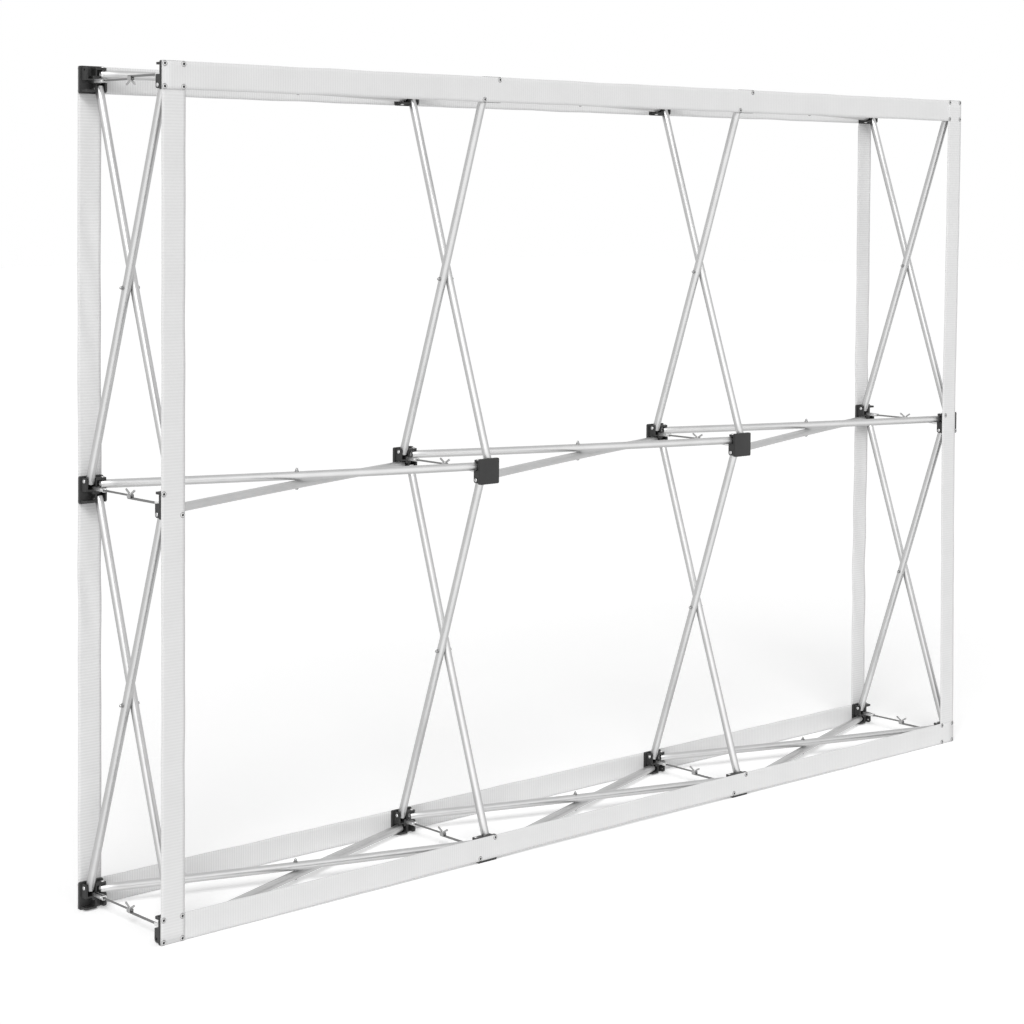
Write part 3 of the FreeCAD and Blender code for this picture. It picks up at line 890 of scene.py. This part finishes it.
def latch_shell(sizes, clear=0.2 * MM):
    """The wing latch: a bent saddle over the lapped rods, a round neck and two wings."""
    middle = FRAME_DEPTH / 2
    gap, wall = sizes.rod_clear / 2, sizes.latch_wall
    top = gap + sizes.back_rod
    foot = -(gap + sizes.front_rod / 2)
    inner = sizes.front_rod / 2 + sizes.rod_clear + clear
    outer, roof = inner + wall, top + wall
    corners = [(-outer, foot), (-inner, foot), (-inner, top), (inner, top),
               (inner, foot), (outer, foot), (outer, roof), (-outer, roof)]
    lip, bend, hollow = sizes.latch_lip, sizes.latch_bend, sizes.latch_hollow
    radii = (lip, lip, hollow, hollow, lip, lip, bend, bend)
    reach = sizes.latch_length / 2
    saddle = prism(rounded(corners, radii, steps=4), middle - reach, middle + reach)
    neck = moved(lathe(NECK_MM * MM, sides=18), turn_about("X", -90), (0, roof - clear, middle))
    wings = [wing_shell(sizes, roof, middle, way) for way in (-1, 1)]
    return joined(saddle, neck, *wings)


class WALL_OT_struts(bpy.types.Operator):
    """Make the depth struts: brackets, rods and wing latches"""

    bl_idname = "wall.struts"
    bl_label = "Struts"

    def execute(self, context):
        sizes, hubs = context.scene.wall_struts, context.scene.wall_hubs
        start = hubs.boss_depth + sizes.rod_inset
        end = (FRAME_DEPTH + sizes.rod_lap) / 2
        floors = {"front": -(sizes.rod_clear / 2 + sizes.front_rod), "back": sizes.rod_clear / 2}
        dias = {"front": sizes.front_rod, "back": sizes.back_rod}
        latch = latch_shell(sizes)
        for layer in LAYERS:
            bracket = bracket_shell(sizes, hubs, floors[layer])
            rod = rod_shell(dias[layer], floors[layer] + dias[layer] / 2, start, end)
            pieces = [("bracket", bracket, "bright_zinc_steel"), ("rod", rod, "dark_steel_rod")]
            if layer == "back":
                pieces.append(("latch", latch, "zinc_plated_steel"))
            for _, row, body, place in hubs_of(layer):
                over = turn_about("Z", 180 if row == LAST_ROW else 0)
                for word, shell, metal in pieces:
                    piece = make_piece(f"{word}_{body}", moved(shell, hub_pose(layer) @ over, place), metal)
                    dressed(piece, body, "tube_aluminium")
        return {"FINISHED"}


# Loop-tape strips

# The two waves in which a strip's edges wander: radians per metre, and radians at its middle
WANDER_WAVES = ((23.0, 0.0), (41.0, 1.3))


def strip_run(bays, sizes):
    """The length of a strip over some bays: from hub to hub, and half its own width past both."""
    return bays * PITCH + sizes.width


def drawn_at(along, run, drawn):
    """How far a strip is drawn aside at a place along it: drawn cos(pi x / run)^2."""
    return drawn * np.cos(math.pi * along / run) ** 2


def strip_grid(bays, sizes, drawn=0.0, edge_in=0.0, crease=0.0, creased_share=0.44, narrow_share=0.012):
    """The middle surface of a strip along x, as seen from the front: u along it and v across it.

    y is -(thick / 2 + air) on the hubs. At the lapped end it is one layer higher, and comes down on the way
    to the next hub by 3 t^2 - 2 t^3. Between hubs its edges wander by a few tenths of a millimetre, and it
    is narrower by a share of sin(pi s)^2, where s is the share of the way from hub to hub. Slanting creases
    stand out by crease sin(pi c)^2 (1 + sin(2 pi (x / crease_run + v))) / 2, where c is the share of the
    creased part of a bay: all of the bay next to the lap, and less than half of the others, so that the
    folded strip stays clear of the strip that laps over it. The strip is drawn inwards, to -z, by drawn,
    and its outer edge by edge_in, which lessens across it by (1 / 2 + v).
    """
    run = strip_run(bays, sizes)
    stops = (np.arange(bays + 1) - bays / 2) * PITCH
    along = np.linspace(-run / 2, run / 2, int(run / sizes.step) + 1)
    across = np.linspace(-0.5, 0.5, 9)
    lift = np.clip((sizes.lap_run + sizes.ramp - run / 2 - along) / sizes.ramp, 0, 1)
    lift = lift * lift * (3 - 2 * lift)
    layer = sizes.thick + sizes.air
    out = layer - sizes.thick / 2 + lift * layer
    first = np.clip(np.searchsorted(stops, along, side="right") - 1, 0, bays - 1)
    past_hub, bay = along - stops[first] - HUB_SIZE / 2, PITCH - HUB_SIZE
    share = np.clip(past_hub / bay, 0, 1)
    creased = np.clip(past_hub / np.where(first == 0, bay, creased_share * bay), 0, 1)
    depth = crease * np.sin(math.pi * creased) ** 2
    wave = 0.5 + 0.5 * np.sin(TAU * (along[:, None] / sizes.crease_run + across))
    wander = sizes.wander * sum(np.sin(along * rate + start) for rate, start in WANDER_WAVES)
    aside = wander * share * (1 - share) * 4 - drawn_at(along, run, drawn)
    width = sizes.width * (1 - narrow_share * np.sin(math.pi * share) ** 2)
    grid = np.empty((len(along), len(across), 3))
    grid[:, :, 0] = along[:, None]
    grid[:, :, 1] = -out[:, None] - depth[:, None] * wave
    grid[:, :, 2] = across * width[:, None] + aside[:, None]
    grid[:, :, 2] -= drawn_at(along, run, edge_in)[:, None] * (0.5 + across)
    return grid


def strip_piece(name, grid, turn, place, sizes):
    """A strip's object: the grid as quads, a UV map in millimetres and its thickness by Solidify.

    Its outer side has the loops, and its inner side is the plain backing.
    """
    count, wide = grid.shape[:2]
    points = grid.reshape(-1, 3)
    rows, columns = np.meshgrid(np.arange(count - 1), np.arange(wide - 1), indexing="ij")
    corner = rows * wide + columns
    quads = np.stack([corner, corner + wide, corner + wide + 1, corner + 1], axis=-1).reshape(-1, 4)
    mesh = mesh_of(name, (points @ turn.T + place, quads.tolist()))
    for side in ("woven_loop_tape", "woven_tape_backing"):
        mesh.materials.append(finish(side))
    mesh.shade_smooth()
    add_uv(mesh, "tape_mm", points[:, [2, 0]] / MM)
    piece = in_scene(name, mesh)
    wall = piece.modifiers.new("tape_thickness", "SOLIDIFY")
    wall.thickness = sizes.thick
    wall.offset = 0
    wall.material_offset = 1
    return piece


# A strip rivet: shares of its head's radius, and millimetres above the tape
STRIP_RIVET = np.array([
    (0.5, -3), (0.5, 0), (1, 0), (1, 0.5), (0.8, 1.1), (0.64, 1.4), (0.52, 1.4), (0.44, 1.1), (0.4, 0.1)])


class WALL_OT_strips(bpy.types.Operator):
    """Make the loop-tape strips round both layers, and the rivets that hold them"""

    bl_idname = "wall.strips"
    bl_label = "Strips"

    def execute(self, context):
        sizes = context.scene.wall_strips
        level, upright = strip_grid(LAST_COLUMN, sizes), strip_grid(LAST_ROW, sizes)
        lifted = strip_grid(LAST_COLUMN, sizes, edge_in=sizes.edge_up)
        drawn = strip_grid(LAST_ROW, sizes, drawn=sizes.drawn_in)
        creased = strip_grid(LAST_ROW, sizes, crease=sizes.crease)
        stand, over = turn_about("Y", -90), turn_about("Y", 180)
        for layer in LAYERS:
            front = layer == "front"
            face = np.eye(3) if front else turn_about("Z", 180)
            # as the layer is seen from its own outside, a back strip's left end is at the wall's right end
            ends = (0, LAST_COLUMN) if front else (LAST_COLUMN, 0)
            plan = [
                ("top", level, np.eye(3), (1, LAST_ROW), LAST_COLUMN),
                ("bottom", lifted if front else level, over, (1, 0), LAST_COLUMN),
                ("left", upright if front else creased, stand, (ends[0], 1), LAST_ROW),
                ("right", drawn if front else creased, over @ stand, (ends[1], 1), LAST_ROW),
            ]
            for word, grid, turn, spot, bays in plan:
                body = hub_name(layer, *spot)
                place = hub_face(layer, *spot)
                middle = place.copy()
                if bays == LAST_COLUMN:
                    middle[0] = 0.0
                piece = strip_piece(f"{layer}_{word}_strip", grid, face @ turn, middle, sizes)
                dressed(piece, body, "loop_tape", f"{layer}_strips")
                run = strip_run(bays, sizes)
                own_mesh(piece)
            self.rivets(layer, sizes)
        return {"FINISHED"}

    @staticmethod
    def folded_share(hubs):
        """How much of the bay pitch is left when the frame is folded: the tubes' run shrinks by a cosine."""
        fold = [joint for joint in frame["joints"] if joint["name"] == FOLD][0]
        run, rise = pin_reach(hubs)
        folded = math.atan2(rise, run) + math.radians(fold["range_deg"][1])
        return (PITCH - run + math.hypot(run, rise) * math.cos(folded)) / PITCH

    @staticmethod
    def rivets(layer, sizes, sides=20):
        """Tubular rivets on the strips: four on a corner hub, a slanting pair on others.

        Their rims take the darker plain steel as a painted shadow round the head, and their bores take the
        hub's black plastic as painted shade in the hole. Where the front bottom strip's lower edge is drawn
        up, the lower rivets are too.
        """
        head = lathe(STRIP_RIVET * (sizes.rivet_head / 2, MM), sides)
        # faces in rings from the shank over the rim to the bore, then the two end caps
        # painted shade: the darker steel on the rim, and the black plastic in the bore
        parts = np.repeat((0, 2, 0, 1), np.array((2, 2, 3, 1)) * sides)
        parts = np.concatenate([parts, (0, 1)]).astype(np.int32)
        pose = hub_pose(layer) @ turn_about("X", 180)
        off = sizes.rivet_place
        for column, row, body, place in hubs_of(layer):
            on_side, on_level = column in (0, LAST_COLUMN), row in (0, LAST_ROW)
            if not (on_side or on_level):
                continue
            slant = 1 if on_level else -1
            spots = [(1, slant), (-1, -slant)]
            lift, up = sizes.thick, 0.0
            if on_side and on_level:
                spots += [(1, -1), (-1, 1)]
                lift *= 2
            if layer == "front" and row == 0:
                up = drawn_at(place[0], strip_run(LAST_COLUMN, sizes), sizes.edge_up)
            heads = [moved(head, None, (x * off, z * off - up * (z > 0), lift)) for x, z in spots]
            piece = make_piece(f"strip_rivets_{body}", moved(joined(*heads), pose, place),
                               "nickel_plated_steel", "moulded_black_abs", "plain_steel_rivet")
            piece.data.polygons.foreach_set("material_index", np.tile(parts, len(heads)))
            dressed(piece, body, "hub_plastic")


# Stage

class WALL_OT_stage(bpy.types.Operator):
    """Make the camera, the pale floor and the studio light"""

    bl_idname = "wall.stage"
    bl_label = "Stage"

    def execute(self, context):
        settings = context.scene.wall_stage
        context.scene.view_settings.view_transform = "Standard"
        self.camera(context, settings)
        self.floor(settings)
        self.world(context, settings)
        self.lights(settings)
        return {"FINISHED"}

    @staticmethod
    def camera(context, settings):
        """A camera set by its heading, tilt and roll."""
        heading, tilt, roll = settings.heading, settings.tilt, settings.roll
        level = np.array([math.sin(heading), math.cos(heading), 0])
        ahead = math.cos(tilt) * level + (0, 0, math.sin(tilt))
        right = np.array([math.cos(heading), -math.sin(heading), 0])
        up = np.cross(right, ahead)
        side = math.cos(roll) * right + math.sin(roll) * up
        top = math.cos(roll) * up - math.sin(roll) * right
        data = bpy.data.cameras.new("photo_camera")
        data.lens = settings.lens_mm
        data.sensor_width = settings.sensor_mm
        data.shift_x, data.shift_y = settings.shift
        data.clip_end = settings.floor_size
        camera = in_scene("photo_camera", data)
        turn = Matrix(np.stack([side, top, -ahead], axis=1).tolist()).to_4x4()
        camera.matrix_world = Matrix.Translation(settings.camera_place) @ turn
        context.scene.camera = camera

    @staticmethod
    def floor(settings):
        """A pale floor that keeps the shadow and shows white to the camera around it."""
        material, tree = new_material("studio_floor")
        paint = node(tree, "ShaderNodeBsdfDiffuse", {"Color": linear("#f6f6f6")})
        glow = node(tree, "ShaderNodeEmission", {"Color": (1, 1, 1, 1), "Strength": settings.floor_glow})
        both = node(tree, "ShaderNodeAddShader", {0: paint.outputs["BSDF"], 1: glow.outputs["Emission"]})
        seen = node(tree, "ShaderNodeMixShader", {
            0: seen_rays(tree), 1: paint.outputs["BSDF"], 2: both.outputs["Shader"]})
        node(tree, "ShaderNodeOutputMaterial", {"Surface": seen.outputs["Shader"]})
        half = settings.floor_size / 2
        points = np.array([(-half, -half, 0), (half, -half, 0), (half, half, 0), (-half, half, 0)])
        mesh = mesh_of("floor", (points, [(0, 1, 2, 3)]))
        mesh.materials.append(material)
        floor = in_scene("floor", mesh)
        # the lower half of the broad front light stands for the floor's bounce, so the floor lets it through
        floor.visible_shadow = False
        floor.visible_glossy = False
        floor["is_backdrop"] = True

    @staticmethod
    def world(context, settings):
        """White behind the object and in its reflections, and an even room light for the rest."""
        world = bpy.data.worlds.new("studio")
        context.scene.world = world
        world.use_nodes = True
        tree = world.node_tree
        tree.nodes.clear()
        room = node(tree, "ShaderNodeBackground", {"Color": (1, 1, 1, 1), "Strength": settings.room_level})
        white = node(tree, "ShaderNodeBackground", {"Color": (1, 1, 1, 1), "Strength": 1.0})
        seen = node(tree, "ShaderNodeMixShader", {
            0: seen_rays(tree), 1: room.outputs["Background"], 2: white.outputs["Background"]})
        node(tree, "ShaderNodeOutputWorld", {"Surface": seen.outputs["Shader"]})

    @staticmethod
    def lights(settings):
        """A soft key light from the upper left of the camera, and a broad light from the front."""
        lamps = (("soft_key", settings.key_level, settings.key_angle, settings.key_from),
                 ("broad_front", settings.front_level, settings.front_angle, settings.front_from))
        for name, level, angle, place in lamps:
            data = bpy.data.lights.new(name, "SUN")
            data.energy = level
            data.angle = angle
            lamp = in_scene(name, data)
            lamp.matrix_world = Matrix(aim_turn(-np.array(place)).tolist()).to_4x4()


def seen_rays(tree):
    """A share of 1 for camera, glossy and transmission rays, which see the white stage, and 0 for others."""
    path = node(tree, "ShaderNodeLightPath")
    first = node(tree, "ShaderNodeMath", {
        0: path.outputs["Is Camera Ray"], 1: path.outputs["Is Glossy Ray"]}, operation="MAXIMUM")
    both = node(tree, "ShaderNodeMath", {
        0: first.outputs["Value"], 1: path.outputs["Is Transmission Ray"]}, operation="MAXIMUM")
    return both.outputs["Value"]


def aim_turn(aim):
    """The turn that points a lamp's -z along a direction, with its y upwards."""
    back = -aim / np.linalg.norm(aim)
    right = np.cross((0, 0, 1), back)
    right /= np.linalg.norm(right)
    return np.stack([right, np.cross(back, right), back], axis=1)


class WALL_PT_panel(bpy.types.Panel):
    """Lists the steps that make the banner wall"""

    bl_label = "Banner wall"
    bl_idname = "WALL_PT_panel"
    bl_space_type = "VIEW_3D"
    bl_region_type = "UI"
    bl_category = "Banner wall"

    def draw(self, context):
        for step in STEPS:
            self.layout.operator(step.bl_idname)


STEPS = (WALL_OT_hubs, WALL_OT_tubes, WALL_OT_struts, WALL_OT_strips, WALL_OT_stage)
GROUPS = {
    "wall_hubs": WallHubSizes,
    "wall_tubes": WallTubeSizes,
    "wall_struts": WallStrutSizes,
    "wall_strips": WallStripSizes,
    "wall_finishes": WallFinishes,
    "wall_stage": WallStage,
}


def register():
    """Register the groups, steps and panel."""
    for name, group in GROUPS.items():
        bpy.utils.register_class(group)
        setattr(bpy.types.Scene, name, PointerProperty(type=group))
    for step in (*STEPS, WALL_PT_panel):
        bpy.utils.register_class(step)


def unregister():
    """Take everything out again."""
    for step in (WALL_PT_panel, *reversed(STEPS)):
        bpy.utils.unregister_class(step)
    for name, group in GROUPS.items():
        delattr(bpy.types.Scene, name)
        bpy.utils.unregister_class(group)


def main():
    """Make every piece and the stage, and work out the CAD box and the dressed box."""
    register()
    for step in STEPS:
        area, action = step.bl_idname.split(".")
        getattr(getattr(bpy.ops, area), action)()
    boxes = {"cad": CAD_BOX, "visual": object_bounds()}
    {name: [list(map(float, corner)) for corner in box] for name, box in boxes.items()}


if __name__ == "__main__":
    main()
